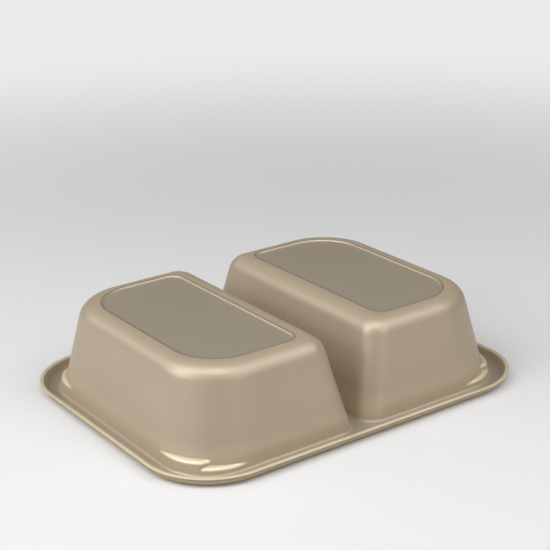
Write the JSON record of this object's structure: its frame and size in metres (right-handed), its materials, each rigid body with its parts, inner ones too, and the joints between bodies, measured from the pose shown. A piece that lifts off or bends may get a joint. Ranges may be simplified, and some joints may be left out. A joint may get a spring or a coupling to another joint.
{
  "type": "ovenable food tray",
  "caption": "Divided ovenable food tray formed from one sheet, with drafted compartments, a rolled sealing rim, stacking ledges and a recessed panel in each base.",
  "frame": {"origin": "centre of the sealing face of the flange, on the surface that the tray rests on, bases up", "axes": "+X across the two compartments, +Y along the divider, +Z from the sealing face to the bases"},
  "size_m": [0.227, 0.178, 0.0512],
  "materials": {
    "formed_sheet": "satin beige polyester sheet, smooth, with a soft sheen"
  },
  "bodies": {
    "root": {"tray": "formed_sheet"}
  },
  "joints": []
}
